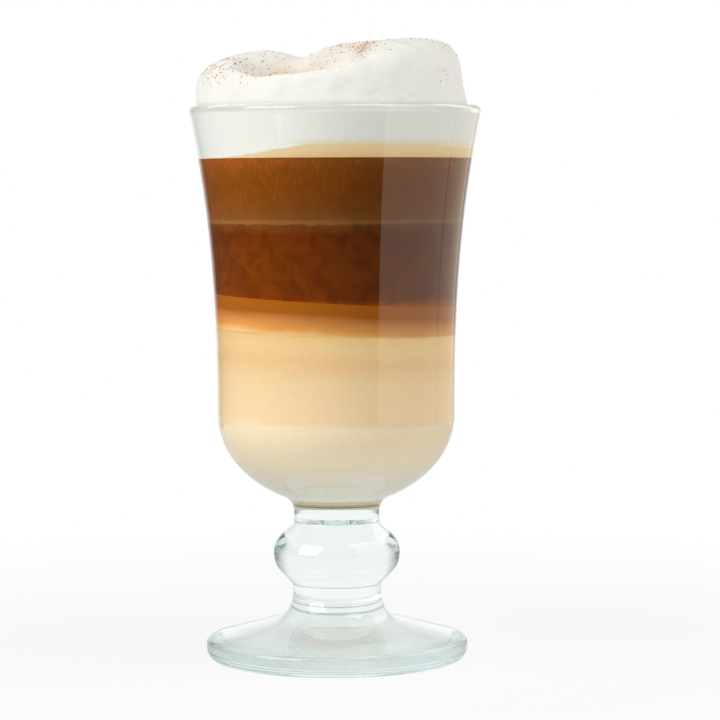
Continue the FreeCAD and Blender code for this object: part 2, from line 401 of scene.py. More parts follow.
def inner_radius(g, height, reach=0.0):
    """Radius of the bowl's inner wall plus a reach into it: the side's formula less the wall,
    and under the shoulder an ellipse down to the floor."""
    across = g.bowl_radius - g.wall + reach
    depth = shoulder(g) - FLOOR_HEIGHT + reach
    low = across * np.sqrt(np.clip(1 - (np.clip(shoulder(g) - height, 0, None) / depth) ** 2, 0, 1))
    return np.where(height < shoulder(g), low, side_radius(g, height) - g.wall + reach)


def ellipse_arc(middle, half, start, end, count):
    """Points middle + (a cos t, b sin t) between two angles, without the first and the last."""
    turn = np.linspace(start, end, count)[1:-1]
    return np.stack([middle[0] + half[0] * np.cos(turn), middle[1] + half[1] * np.sin(turn)], -1)


def glass_outline(g, arc_points=40, side_points=60, lip_points=22):
    """The section of the glass from the middle of its underside to the middle of the bowl's
    floor: hollow arc, foot, neck, knop, neck, rounded base, flaring side, lip, and back down
    inside."""
    ring_inner = g.foot_radius - g.foot_edge_round_low - g.rest_ring_width
    dome = (ring_inner ** 2 + g.hollow_depth ** 2) / (2 * g.hollow_depth)
    turn = np.linspace(0, math.asin(ring_inner / dome), arc_points)[1:]
    hollow = np.stack([dome * np.sin(turn), g.hollow_depth - dome * (1 - np.cos(turn))], -1)

    low, radius = g.lower_neck_top, g.upper_neck_radius
    knop_top = low + g.knop_height
    bowl_bottom = knop_top + g.upper_neck_height
    steep = math.acos((radius + g.neck_blend) / g.bowl_radius)
    on_bowl = np.array([g.bowl_radius * math.cos(steep),
                        shoulder(g) - g.bowl_base_height * math.sin(steep)])
    way = np.array([g.bowl_radius * math.sin(steep), g.bowl_base_height * math.cos(steep)])
    corner = np.array([radius, on_bowl[1] - g.neck_blend * way[1] / way[0]])
    reach = np.linalg.norm(on_bowl - corner)
    on_neck = corner - np.array([0, reach])
    half = math.acos(((on_bowl - corner) @ (on_neck - corner)) / reach ** 2) / 2
    foot_at_neck = g.foot_edge + (g.foot_radius - g.lower_neck_radius) * g.foot_slope
    corners = [
        (hollow[-1], 0),
        ((g.foot_radius, 0), g.foot_edge_round_low),
        ((g.foot_radius, g.foot_edge), g.foot_edge_round_top),
        ((g.lower_neck_radius, foot_at_neck), g.foot_neck_round),
        ((g.lower_neck_radius, low), g.crease_round),
        ((g.knop_radius, low + g.knop_low_taper), g.knop_round),
        ((g.knop_radius, knop_top - g.knop_top_taper), g.knop_round),
        ((radius, knop_top), g.crease_round),
        (corner, reach * math.tan(half)),
        (on_bowl, 0),
    ]
    stem = [bend(corners[i - 1][0], corners[i][0], corners[i + 1][0], corners[i][1])
            for i in range(1, len(corners) - 1)]

    base = ellipse_arc((0, shoulder(g)), (g.bowl_radius, -g.bowl_base_height), steep, 0,
                       arc_points)
    lip_height = GLASS_HEIGHT - g.lip_round
    height = np.linspace(shoulder(g), lip_height, side_points)
    side = np.stack([side_radius(g, height), height], -1)
    half_lip = g.wall / 2
    lip = ellipse_arc((side[-1, 0] - half_lip, lip_height), (half_lip, g.lip_round), 0, math.pi,
                      lip_points)
    inside = np.stack([inner_radius(g, height[::-1]), height[::-1]], -1)
    floor = ellipse_arc((0, shoulder(g)), (g.bowl_radius - g.wall, FLOOR_HEIGHT - shoulder(g)),
                        0, math.pi / 2, arc_points)
    return np.concatenate([hollow, *stem, base, side, lip, inside, floor])


def underside(g, grid):
    """Which points of the glass lie in the hollow under the foot: 1 - out ** 6, with out from 0
    at its middle to 1 at the ring that the glass stands on, and 0 above."""
    out = np.hypot(grid[..., 0], grid[..., 1])
    out = out / (g.foot_radius - g.foot_edge_round_low - g.rest_ring_width)
    just_over = 1.01
    low = (grid[..., 2] < g.hollow_depth * just_over) & (out < 1)
    return np.clip(1 - out ** 6, 0, 1) * low


# --- materials ---
CREMA_TOP = "#ecd2a6"       # crema that is half foam


def node(tree, kind, settings=None, links=None):
    """Adds a shader node. A setting is an attribute of the node or the value of an input; a
    link is an input's name or number and the output that feeds it."""
    made = tree.nodes.new("ShaderNode" + kind)
    for key, value in (settings or {}).items():
        if isinstance(key, str) and key not in made.inputs and hasattr(made, key):
            setattr(made, key, value)
        else:
            made.inputs[key].default_value = value
    for key, (source, output) in (links or {}).items():
        tree.links.new(source.outputs[output], made.inputs[key])
    return made


def new_material(name):
    """An empty material and its node tree."""
    old = bpy.data.materials.get(name)
    if old:
        bpy.data.materials.remove(old)
    material = bpy.data.materials.new(name)
    material.use_nodes = True
    material.node_tree.nodes.clear()
    return material, material.node_tree


def rgba(value):
    """Linear red, green, blue and full alpha, from a hex colour or from linear values."""
    return (*(linear(value) if isinstance(value, str) else value), 1.0)


def fill_ramp(ramp, stops):
    """Sets a colour ramp's stops, given as (position, colour)."""
    elements = ramp.color_ramp.elements
    while len(elements) > 1:
        elements.remove(elements[-1])
    elements[0].position, elements[0].color = stops[0][0], rgba(stops[0][1])
    for position, value in stops[1:]:
        elements.new(position).color = rgba(value)


def soda_lime_glass(g):
    """Pressed soda-lime glass, fire polished: clear and smooth, IOR 1.52, and faintly green-blue
    where it is thick. The hollow under the foot kept the dull skin of the mould. Light on its
    way to the drink passes the wall unbent, so the layers are lit evenly."""
    material, tree = new_material("pressed_soda_lime_glass")
    under = node(tree, "Attribute", {"attribute_name": "underside"})
    mould_skin = 0.4
    dull = node(tree, "Math", {"operation": "MULTIPLY", 1: mould_skin}, {0: (under, "Fac")})
    shader = node(tree, "BsdfPrincipled",
                  {"Base Color": rgba((1, 1, 1)), "Transmission Weight": 1.0, "IOR": 1.52},
                  {"Roughness": (dull, 0)})
    clear = node(tree, "BsdfTransparent", {"Color": rgba((0.97, 0.985, 0.98))})
    path = node(tree, "LightPath")
    through = node(tree, "Math", {"operation": "MAXIMUM"},
                   {0: (path, "Is Shadow Ray"), 1: (path, "Is Diffuse Ray")})
    mix = node(tree, "MixShader", None, {0: (through, 0), 1: (shader, 0), 2: (clear, 0)})
    depth = node(tree, "VolumeAbsorption", {"Color": rgba(g.tint), "Density": 6.5})
    node(tree, "OutputMaterial", None, {"Surface": (mix, 0), "Volume": (depth, 0)})
    return material


def colour_by_height(tree, here, split, stops, size_mm, wander_mm, stretch, tilt):
    """A ramp through the stops, (height in mm, colour), over height + x * tan(tilt), so that the
    levels sink to the right. They drift up and down by a noise of the given size, which is
    wider than high by the stretch."""
    squeeze = node(tree, "Mapping", {"Scale": (1, 1, stretch)}, here)
    drift = node(tree, "TexNoise", {"Scale": 1 / (size_mm * MM), "Detail": 3.0, "Roughness": 0.5},
                 {"Vector": (squeeze, 0)})
    push = node(tree, "Math",
                {"operation": "MULTIPLY_ADD", 1: 2 * wander_mm * MM, 2: -wander_mm * MM},
                {0: (drift, 0)})
    lean = node(tree, "Math", {"operation": "MULTIPLY_ADD", 1: math.tan(tilt)},
                {0: (split, "X"), 2: (split, "Z")})
    level = node(tree, "Math", {"operation": "ADD"}, {0: (lean, 0), 1: (push, 0)})
    low, high = stops[0][0], stops[-1][0]
    share = node(tree, "MapRange", {"From Min": low * MM, "From Max": high * MM},
                 {"Value": (level, 0)})
    ramp = node(tree, "ValToRGB", None, {0: (share, 0)})
    fill_ramp(ramp, [((height - low) / (high - low), value) for height, value in stops])
    return ramp


def liquid_shade(tree, here, split, low, high, fine, painted_side_light, clouds, streaks):
    """How light a layer from low to high is: a grain 0.9 mm wide, times a fall from the left,
    where more milk is mixed in, to the right, times clouds about 4.5 mm wide, times pale
    upright streaks 0.38 mm wide that hang down from its top and fade."""
    grain = node(tree, "TexNoise", {"Scale": 1 / (0.9 * MM), "Detail": 2.0}, here)
    value = node(tree, "MapRange", {"To Min": 1 - fine, "To Max": 1 + fine}, {"Value": (grain, 0)})
    # painted light: lighter on the left, where the key lamp stands, and darker on the right
    side = node(tree, "MapRange",
                {"From Min": -24 * MM, "From Max": 8 * MM, "To Min": 1 + 2 * painted_side_light,
                 "To Max": 1 - painted_side_light}, {"Value": (split, "X")})
    factors = [value, side]
    if clouds:
        billow = node(tree, "TexNoise", {"Scale": 1 / (4.5 * MM), "Detail": 4.0, "Distortion": 0.8},
                      here)
        factors.append(node(tree, "MapRange", {
            "interpolation_type": "SMOOTHSTEP", "From Min": 0.35, "From Max": 0.65,
            "To Min": 1 - clouds, "To Max": 1 + clouds}, {"Value": (billow, 0)}))
    if streaks:
        thread = node(tree, "Mapping", {"Scale": (1, 1, 0.035)}, here)
        strand = node(tree, "TexNoise", {"Scale": 1 / (0.38 * MM), "Detail": 3.0},
                      {"Vector": (thread, 0)})
        pale = node(tree, "MapRange", {"From Min": 0.5, "From Max": 0.75}, {"Value": (strand, 0)})
        hang = node(tree, "MapRange",
                    {"From Min": (low + 2) * MM, "From Max": high * MM, "To Min": 0.15 * streaks,
                     "To Max": streaks}, {"Value": (split, "Z")})
        factors.append(node(tree, "Math", {"operation": "MULTIPLY_ADD", 2: 1.0},
                            {0: (pale, 0), 1: (hang, 0)}))
    shade = factors[0]
    for factor in factors[1:]:
        shade = node(tree, "Math", {"operation": "MULTIPLY"}, {0: (shade, 0), 1: (factor, 0)})
    return shade


def liquid(name, stops, size_mm, wander_mm, stretch, tilt=0.0, fine=0.05, painted_side_light=0.0,
           clouds=0.0, streaks=0.0):
    """A drink layer behind glass: wet, IOR 1.34 as milk and coffee have, and without a sheen of
    its own, because the glass in front of it has that."""
    material, tree = new_material(name)
    place = node(tree, "TexCoord")
    here = {"Vector": (place, "Object")}
    split = node(tree, "SeparateXYZ", None, here)
    ramp = colour_by_height(tree, here, split, stops, size_mm, wander_mm, stretch, tilt)
    shade = liquid_shade(tree, here, split, stops[0][0], stops[-1][0], fine, painted_side_light, clouds,
                         streaks)
    tone = node(tree, "HueSaturation", None, {"Color": (ramp, 0), "Value": (shade, 0)})
    shader = node(tree, "BsdfPrincipled",
                  {"Roughness": 0.6, "IOR": 1.34, "Specular IOR Level": 0.0},
                  {"Base Color": (tone, 0)})
    node(tree, "OutputMaterial", None, {"Surface": (shader, 0)})
    return material


def layer_materials(d):
    """The five poured layers, from the bottom up."""
    return (
        # warm milk: cream white, with painted shade that greys it at the bowl's floor
        liquid("plain_milk", [
            (46.5, "#c4cdbf"), (49.0, "#f0eadc"), (52.0, "#f1e3cf"), (56.0, "#fae5c6"),
            (60.0, d.milk), (64.5, "#fae5bd")],
            size_mm=6.0, wander_mm=0.6, stretch=2.0),
        # milk with a little coffee: even cream with wide, faint waves, tan at its top
        liquid("creamy_latte", [
            (64.1, "#fbe1b9"), (65.8, "#f9d9ac"), (70.5, "#f9d7a9"), (75.7, d.latte),
            (80.8, "#f3c68f"), (84.7, "#f4cf95"), (87.3, "#f2c889"), (89.5, "#dc9d62")],
            size_mm=11.0, wander_mm=1.3, stretch=3.5, tilt=d.blend_tilt, painted_side_light=0.03),
        # where milk and espresso meet: tan, amber and brown within a centimetre
        liquid("milky_coffee", [
            (87.3, "#f2c889"), (89.3, "#dc974b"), (91.3, "#c98140"), (93.4, d.amber),
            (95.6, "#a65b10"), (97.2, "#a85001")],
            size_mm=9.0, wander_mm=0.9, stretch=3.0, tilt=d.espresso_tilt, painted_side_light=0.12),
        # espresso: deep brown with soft clouds, and a pale line of froth along its top
        liquid("espresso", [
            (94.6, "#aa5c10"), (97.4, "#733001"), (99.6, d.espresso), (110.0, "#642c01"),
            (112.6, "#612801"), (114.2, "#5f2801"), (115.6, "#683309"), (116.7, "#693a13"),
            (117.2, "#80522d")],
            size_mm=3.0, wander_mm=0.6, stretch=1.0, fine=0.06, painted_side_light=0.26, clouds=0.16),
        # thinner coffee: red-brown, with froth that hangs down from the crema in streaks
        liquid("brewed_coffee", [
            (117.0, "#815228"), (117.7, "#85532c"), (118.2, "#76461a"), (121.0, "#723e0f"),
            (127.0, d.coffee), (131.0, "#773e08"), (133.0, "#824411")],
            size_mm=3.0, wander_mm=0.1, stretch=0.3, fine=0.06, painted_side_light=0.26, clouds=0.05,
            streaks=0.6),
    )


def crema_froth(d, foam):
    """Crema: tan froth of fine bubbles, which turns into white foam towards its top, sooner at
    the far left and a little sooner at the far right."""
    material, tree = new_material("tan_crema_froth")
    place = node(tree, "TexCoord")
    here = {"Vector": (place, "Object")}
    share = node(tree, "Attribute", {"attribute_name": "share"})
    cloud = node(tree, "TexNoise", {"Scale": 1 / (3.0 * MM), "Detail": 4.0}, here)
    split = node(tree, "SeparateXYZ", None, here)
    left = node(tree, "MapRange",
                {"From Min": -6 * MM, "From Max": -30 * MM, "To Min": -0.3, "To Max": 0.75},
                {"Value": (split, "X")})
    right = node(tree, "MapRange",
                 {"From Min": 22 * MM, "From Max": 35 * MM, "To Min": 0.0, "To Max": 0.15},
                 {"Value": (split, "X")})
    both = node(tree, "Math", {"operation": "ADD"}, {0: (left, 0), 1: (right, 0)})
    drift = node(tree, "Math", {"operation": "MULTIPLY_ADD", 1: 0.4}, {0: (cloud, 0), 2: (both, 0)})
    level = node(tree, "Math", {"operation": "ADD"}, {0: (share, "Fac"), 1: (drift, 0)})
    ramp = node(tree, "ValToRGB", None, {0: (level, 0)})
    fill_ramp(ramp, [(0.0, "#e6c188"), (0.45, d.crema), (0.85, CREMA_TOP), (0.95, "#eedfc2"),
                     (1.0, foam)])
    shader = node(tree, "BsdfPrincipled",
                  {"Roughness": 0.7, "IOR": 1.34, "Specular IOR Level": 0.0},
                  {"Base Color": (ramp, 0)})
    node(tree, "OutputMaterial", None, {"Surface": (shader, 0)})
    return material


def foam_colour(tree, here, f):
    """White foam, warm where cinnamon stains it, greyer in a narrow band 0.6 mm under the lip
    and to the right under the lip, where it lies flat on the wall, and cream over the crema."""
    stain = node(tree, "Attribute", {"attribute_name": "stain"})
    cloud = node(tree, "TexNoise", {"Scale": 1 / (2.5 * MM), "Detail": 5.0}, here)
    patch = node(tree, "MapRange", {"From Min": 0.3, "From Max": 0.7, "To Min": 0.6, "To Max": 1.0},
                 {"Value": (cloud, 0)})
    amount = node(tree, "Math", {"operation": "MULTIPLY"}, {0: (stain, "Fac"), 1: (patch, 0)})
    warm = node(tree, "Mix", {"data_type": "RGBA", "A": rgba(f.foam), "B": rgba(f.shade)},
                {"Factor": (amount, 0)})
    split = node(tree, "SeparateXYZ", None, here)
    # painted shade: grey foam in a thin strip along the lip, and on the right under the lip
    from_lip = node(tree, "Math", {"operation": "SUBTRACT", 1: GLASS_HEIGHT - 0.6 * MM},
                    {0: (split, "Z")})
    apart = node(tree, "Math", {"operation": "ABSOLUTE"}, {0: (from_lip, 0)})
    lip_shade = node(tree, "MapRange",
                {"interpolation_type": "SMOOTHSTEP", "From Min": 0.3 * MM, "From Max": 1.8 * MM,
                 "To Min": 0.6, "To Max": 0.0}, {"Value": (apart, 0)})
    right = node(tree, "MapRange",
                 {"From Min": -12 * MM, "From Max": 4 * MM, "To Min": 0.0, "To Max": 0.32},
                 {"Value": (split, "X")})
    below = node(tree, "MapRange",
                 {"From Min": 1.0 * MM, "From Max": -1.0 * MM, "To Min": 0.0, "To Max": 1.0},
                 {"Value": (from_lip, 0)})
    flat = node(tree, "Math", {"operation": "MULTIPLY"}, {0: (right, 0), 1: (below, 0)})
    grey = node(tree, "Math", {"operation": "MAXIMUM"}, {0: (lip_shade, 0), 1: (flat, 0)})
    # the foam with its painted shade
    packed = node(tree, "Mix", {"data_type": "RGBA", "B": rgba("#d3d2c0")},
                  {"Factor": (grey, 0), "A": (warm, "Result")})
    cream = node(tree, "Attribute", {"attribute_name": "cream"})
    return node(tree, "Mix", {"data_type": "RGBA", "B": rgba(CREMA_TOP)},
                {"Factor": (cream, "Fac"), "A": (packed, "Result")})


def foam_relief(tree, here):
    """Bubbles about 0.75 mm wide, drawn coarser than the finest ones so that they show, over
    lumps of about 1.8 mm."""
    bubbles = node(tree, "TexVoronoi", {"Scale": 1 / (0.75 * MM)}, here)
    pits = node(tree, "MapRange", {"From Min": 0.0, "From Max": 0.35},
                {"Value": (bubbles, "Distance")})
    lumps = node(tree, "TexNoise", {"Scale": 1 / (1.8 * MM), "Detail": 4.0}, here)
    relief = node(tree, "Math", {"operation": "MULTIPLY_ADD", 1: 0.25},
                  {0: (pits, 0), 2: (lumps, 0)})
    return node(tree, "Bump", {"Strength": 0.35, "Distance": 0.4 * MM}, {"Height": (relief, 0)})


def milk_froth(f):
    """Steamed milk foam: dense, white and satin, finely pitted, IOR 1.34."""
    material, tree = new_material("steamed_milk_foam")
    place = node(tree, "TexCoord")
    here = {"Vector": (place, "Object")}
    shader = node(tree, "BsdfPrincipled",
                  {"Roughness": 0.6, "IOR": 1.34, "Specular IOR Level": 0.3},
                  {"Base Color": (foam_colour(tree, here, f), "Result"),
                   "Normal": (foam_relief(tree, here), 0)})
    node(tree, "OutputMaterial", None, {"Surface": (shader, 0)})
    return material


def ground_cinnamon(s):
    """Ground cinnamon bark: dry, rough grains from orange-brown to dark brown."""
    material, tree = new_material("ground_cinnamon")
    tone = node(tree, "Attribute", {"attribute_name": "tone"})
    ramp = node(tree, "ValToRGB", None, {0: (tone, "Fac")})
    fill_ramp(ramp, [(0.0, s.dark), (1.0, s.light)])
    shader = node(tree, "BsdfPrincipled",
                  {"Roughness": 0.9, "IOR": 1.45, "Specular IOR Level": 0.2},
                  {"Base Color": (ramp, 0)})
    node(tree, "OutputMaterial", None, {"Surface": (shader, 0)})
    return material


# --- pieces ---
def level_at_wall(g, plane, turns, reach):
    """Radius and height where a tilted plane (height, slope, direction) meets the inner wall,
    found by letting radius and height follow each other a few times."""
    height, slope, direction = plane
    at = np.full_like(turns, height)
    for _ in range(6):
        radius = inner_radius(g, at, reach)
        at = height + math.tan(slope) * radius * np.cos(turns - direction)
    return radius, at


def flat_face(plane, radius, height, turn, rings=8):
    """Rings of a plane's face, from near its middle out to the wall."""
    spread = np.linspace(0, 1, rings)[1:, None]
    return revolve_grid(radius * spread, plane[0] + (height - plane[0]) * spread, turn)


def drink_layer(name, g, reach, low, high, material, rows=36, turns=192):
    """A layer between two planes: flat faces out to the wall, and the wall's own curve between
    them. The lowest layer has no flat underside: it follows the ellipse of the bowl's floor.
    Its share attribute runs from 0 at its underside to 1 at its top."""
    turn = ring_turns(turns)
    low_radius, low_height = level_at_wall(g, low, turn, reach)
    high_radius, high_height = level_at_wall(g, high, turn, reach)
    share = np.linspace(0, 1, rows)[1:, None]
    if low is BOWL_FLOOR:
        slant = np.linspace(math.pi / 2, 0, rows)[1:, None]
        depth = shoulder(g) - FLOOR_HEIGHT + reach
        top = np.arcsin(np.clip((shoulder(g) - high_height) / depth, 0, 1))
        slant = top + (math.pi / 2 - top) * slant / (math.pi / 2)
        height = shoulder(g) - depth * np.sin(slant)
        under = np.zeros((0, turns, 3))
        start = (0, 0, FLOOR_HEIGHT - reach)
    else:
        height = low_height + (high_height - low_height) * share
        under = flat_face(low, low_radius, low_height, turn)
        start = (0, 0, low[0])
    wall = revolve_grid(inner_radius(g, height, reach), height, turn)
    over = flat_face(high, high_radius, high_height, turn)[::-1][1:]
    piece = closed_surface(name, start, np.concatenate([under, wall, over]), (0, 0, high[0]),
                           material)
    put_on(piece.data, "share", np.concatenate([
        np.zeros(1 + under.shape[0] * turns), np.repeat(share, turns),
        np.ones(over.shape[0] * turns + 1)]))
    return piece


def crema_plane(d):
    """The plane between the crema and the foam: height, slope, direction."""
    return COFFEE_TOP + d.crema_depth, d.crema_tilt, d.crema_turn


def smooth_step(value):
    """3 v ** 2 - 2 v ** 3, with v the value held between 0 and 1."""
    value = np.clip(value, 0, 1)
    return value * value * (3 - 2 * value)


def dent(x, y, place, spread, turned=0.0, power=1.0):
    """A smooth dent one deep at its place: exp(-(a^2 + b^2) ** power), a and b the distances
    in mm over the spreads, along directions turned from +X and +Y by some degrees; a higher
    power has steeper walls and a flatter bottom."""
    cos, sin = math.cos(math.radians(turned)), math.sin(math.radians(turned))
    x, y = x / MM - place[0], y / MM - place[1]
    across = (x * cos + y * sin) / spread[0]
    along = (y * cos - x * sin) / spread[1]
    return np.exp(-(across ** 2 + along ** 2) ** power)


def waves(x, y, z, size_mm, seed, count=24):
    """A gentle unevenness: sine waves in random directions, their lengths near the size, added
    up and divided by the root of their count."""
    rng = np.random.default_rng(seed)
    aim = rng.normal(size=(count, 3))
    aim /= np.linalg.norm(aim, axis=1)[:, None]
    pitch = 2 * math.pi / (size_mm * MM * rng.uniform(0.7, 1.5, count))
    phase = rng.uniform(0, 2 * math.pi, count)
    total = np.zeros(np.broadcast(x, y, z).shape)
    for (a, b, c), k, start in zip(aim, pitch, phase):
        total += np.sin(k * (a * x + b * y + c * z) + start)
    return total / math.sqrt(count)


def seat_height(g):
    """Height on the wall where the head of foam starts."""
    return GLASS_HEIGHT - g.lip_round - SEAT_BELOW_LIP * MM


def foam_head(g, f, rise, turn):
    """The foam over the lip: a squared ellipse of squareness n, |x/a|^n + |z/h|^n = 1, whose
    levels move from the glass's axis to the summit. Its side leaves the wall at the lip and
    goes over into its own radius within a few millimetres. The hollow, the fold and the saddle
    are dents taken off the top. Returns x, y, z and how deep each point lies in the hollow."""
    slant = rise * math.pi / 2
    n = f.squareness
    scale = (np.cos(slant) ** n + np.sin(slant) ** n) ** (-1 / n)
    out, up = scale * np.cos(slant), scale * np.sin(slant)
    start = seat_height(g)
    seat = inner_radius(g, start, SEAT_REACH * MM)
    side = inner_radius(g, GLASS_HEIGHT - g.lip_round) - f.set_in - f.lean * np.cos(turn)
    reach = f.height + GLASS_HEIGHT - start
    fillet = (SEAT_FILLET + np.cos(turn)) * MM
    radius = side + (seat - side) * np.exp(-up * reach / fillet)
    x = SUMMIT[0] * MM * (1 - out) + radius * out * np.cos(turn)
    y = SUMMIT[1] * MM * (1 - out) + radius * out * np.sin(turn)
    height = (reach + f.rise * x / g.bowl_radius) * up
    deep = dent(x, y, **HOLLOW)
    fold = dent(x, y, **FOLD)
    kept = 1 - FOLD_LOST_IN_HOLLOW * deep
    saddle = dent(x, y, **SADDLE)
    cut = (HOLLOW_DEPTH * deep + FOLD_DEPTH * fold * kept + SADDLE_DEPTH * saddle) * MM
    z = start + height - cut * up ** 3
    free = smooth_step(up * 3)
    swell = sum(tall * MM * waves(x, y, z, size, seed) for tall, size, seed in SWELLS)
    z = z + free * swell * up
    push = free * swell * (1 - up ** 2)
    return x + push * np.cos(turn), y + push * np.sin(turn), z, deep


def cinnamon_stain(x, y, deep):
    """How much cinnamon the foam has soaked up, 0 to 1: in the hollow, but not at its front and
    less at its left, a little in the fold, and in the clots."""
    inside = deep * smooth_step((y / MM + 28.5) / 4)
    right = 0.2 + 0.8 * smooth_step((x / MM + 22) / 12)
    clots = sum(dent(x, y, place, CLOT_SPREAD) for place in CLOTS)
    return np.clip(1.1 * inside * right + 0.2 * dent(x, y, **STAINED_FOLD) + 0.6 * clots, 0, 1)


def make_foam(g, f, d, material, turns=400, rows=150):
    """The whole foam as one closed skin: over the crema, up the wall and over the head. The foam
    is cream on the crema and fades to white within 2.4 mm up the wall, except at the left."""
    turn = ring_turns(turns)
    plane = crema_plane(d)
    radius, height = level_at_wall(g, plane, turn, d.reach)
    under = flat_face(plane, radius, height, turn, rings=6)
    share = np.linspace(0, 1, 26)[1:-1, None]
    climb = height + (seat_height(g) - height) * share
    wall = revolve_grid(inner_radius(g, climb, d.reach), climb, turn)
    rise = np.linspace(0, 1, rows + 1)[:-1, None]
    x, y, z, deep = foam_head(g, f, rise, turn[None, :])
    head = np.stack([x, y, z], -1)
    *summit, summit_deep = (float(value) for value in foam_head(g, f, np.array(1.0), np.array(0.0)))
    piece = closed_surface("milk_foam_head", (0, 0, plane[0]), np.concatenate([under, wall, head]),
                           summit, material)
    put_on(piece.data, "stain", np.concatenate([
        np.zeros(1 + (under.shape[0] + wall.shape[0]) * turns),
        cinnamon_stain(x, y, deep).ravel(), [summit_deep]]))
    at_crema = 0.75
    fade = at_crema * (1 - np.clip((climb - height) / (2.4 * MM), 0, 1)) ** 2
    edge = smooth_step((radius * np.cos(turn) / MM + 16) / 12)
    put_on(piece.data, "cream", np.concatenate([
        [0], np.broadcast_to(at_crema * edge, under.shape[:2]).ravel(), (fade * edge).ravel(),
        np.zeros(x.size + 1)]))
    return piece


def make_dust(g, f, s, material, tries=90000):
    """Cinnamon grains: small eight-sided chips, each squashed and turned its own way, laid on
    the head. Candidate places are spread over all but the foot of the head, and a place is
    taken as often as the patches are dense there: each patch is a bell curve round a point of
    the head. Hardly any grain lies on the steep side just over the lip."""
    rng = np.random.default_rng(5)
    rise = 1 - np.sqrt(rng.uniform(0, 1, tries)) * 0.92
    turn = rng.uniform(0, 2 * math.pi, tries)
    x, y, z, _ = foam_head(g, f, rise, turn)
    density = sum(share * dent(x, y, (px, py), (sx, sy)) for px, py, sx, sy, share in DUST_PATCHES)
    density *= 0.01 + 0.99 * smooth_step((z - GLASS_HEIGHT - 4 * MM) / (5 * MM))
    pick = rng.choice(tries, s.grains, replace=False, p=density / density.sum())
    middle = np.stack([x[pick], y[pick], z[pick]], -1)
    size = s.smallest + (s.largest - s.smallest) * rng.random(s.grains) ** 5
    chip = np.array([(1, 0, 0), (-1, 0, 0), (0, 1, 0), (0, -1, 0), (0, 0, 1), (0, 0, -1)]) / 2
    faces = np.array([(0, 2, 4), (2, 1, 4), (1, 3, 4), (3, 0, 4),
                      (2, 0, 5), (1, 2, 5), (3, 1, 5), (0, 3, 5)])
    form = chip * rng.uniform(0.45, 1.0, (s.grains, 1, 3)) * size[:, None, None]
    axes = np.linalg.qr(rng.normal(size=(s.grains, 3, 3)))[0]
    axes *= np.sign(np.linalg.det(axes))[:, None, None]
    points = middle[:, None, :] + form @ axes
    corners = (faces.ravel() + 6 * np.arange(s.grains)[:, None]).ravel()
    piece = mesh_object("cinnamon_dust", points.reshape(-1, 3), corners,
                        np.full(len(corners) // 3, 3), material)
    put_on(piece.data, "tone", np.repeat(rng.random(s.grains) ** 0.8, 6))
    return piece


# --- operators ---
class CAPPUCCINO_OT_glass(bpy.types.Operator):
    """Turns the footed glass from its outline"""
    bl_idname = "cappuccino.glass"
    bl_label = "Glass"

    def execute(self, context):
        g = context.scene.cappuccino_glass
        outline = glass_outline(g)
        turn = ring_turns(256)
        grid = revolve_grid(outline[:, :1], outline[:, 1:], turn)
        under = underside(g, grid)
        tall, size, seed = FOOT_WAVES
        grid[..., 2] += under * tall * MM * waves(grid[..., 0], grid[..., 1], 0, size, seed)
        piece = closed_surface("footed_glass", (0, 0, g.hollow_depth), grid,
                               (0, 0, FLOOR_HEIGHT), soda_lime_glass(g))
        put_on(piece.data, "underside", np.concatenate([[1], under.ravel(), [0]]))
        stand_for(piece, "glass", "clear_glass")
        return {"FINISHED"}


class CAPPUCCINO_OT_drink(bpy.types.Operator):
    """Pours the layers of the drink"""
    bl_idname = "cappuccino.drink"
    bl_label = "Layers of the drink"

    def execute(self, context):
        g, d = context.scene.cappuccino_glass, context.scene.cappuccino_drink
        left = math.pi
        layers = (
            # piece, node, slot and the plane over it, from the bottom up
            ("milk_layer", "milk", "white_milk", (MILK_TOP, 0.0, 0.0)),
            ("latte_layer", "latte", "latte_cream", (LATTE_TOP, d.blend_tilt, left)),
            ("milky_coffee_layer", "milky_coffee", "milky_amber",
             (BLEND_TOP, d.espresso_tilt, left)),
            ("espresso_layer", "espresso", "dark_espresso", (ESPRESSO_TOP, 0.0, 0.0)),
            ("coffee_layer", "coffee", "brown_coffee", (COFFEE_TOP, 0.0, 0.0)),
            ("crema_layer", "crema", "tan_crema", crema_plane(d)),
        )
        foam = context.scene.cappuccino_foam.foam
        materials = (*layer_materials(d), crema_froth(d, foam))
        low = BOWL_FLOOR
        for (name, cad_node, slot, high), material in zip(layers, materials):
            piece = drink_layer(name, g, d.reach, low, high, material)
            stand_for(piece, cad_node, slot)
            low = high
        return {"FINISHED"}


class CAPPUCCINO_OT_foam(bpy.types.Operator):
    """Heaps the milk foam on the drink"""
    bl_idname = "cappuccino.foam"
    bl_label = "Milk foam"

    def execute(self, context):
        scene = context.scene
        f = scene.cappuccino_foam
        piece = make_foam(scene.cappuccino_glass, f, scene.cappuccino_drink, milk_froth(f))
        stand_for(piece, "milk_foam", "white_foam")
        return {"FINISHED"}


class CAPPUCCINO_OT_dust(bpy.types.Operator):
    """Dusts cinnamon over the foam"""
    bl_idname = "cappuccino.dust"
    bl_label = "Cinnamon"

    def execute(self, context):
        scene = context.scene
        s = scene.cappuccino_dust
        piece = make_dust(scene.cappuccino_glass, scene.cappuccino_foam, s, ground_cinnamon(s))
        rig.ride(piece, "root")
        return {"FINISHED"}


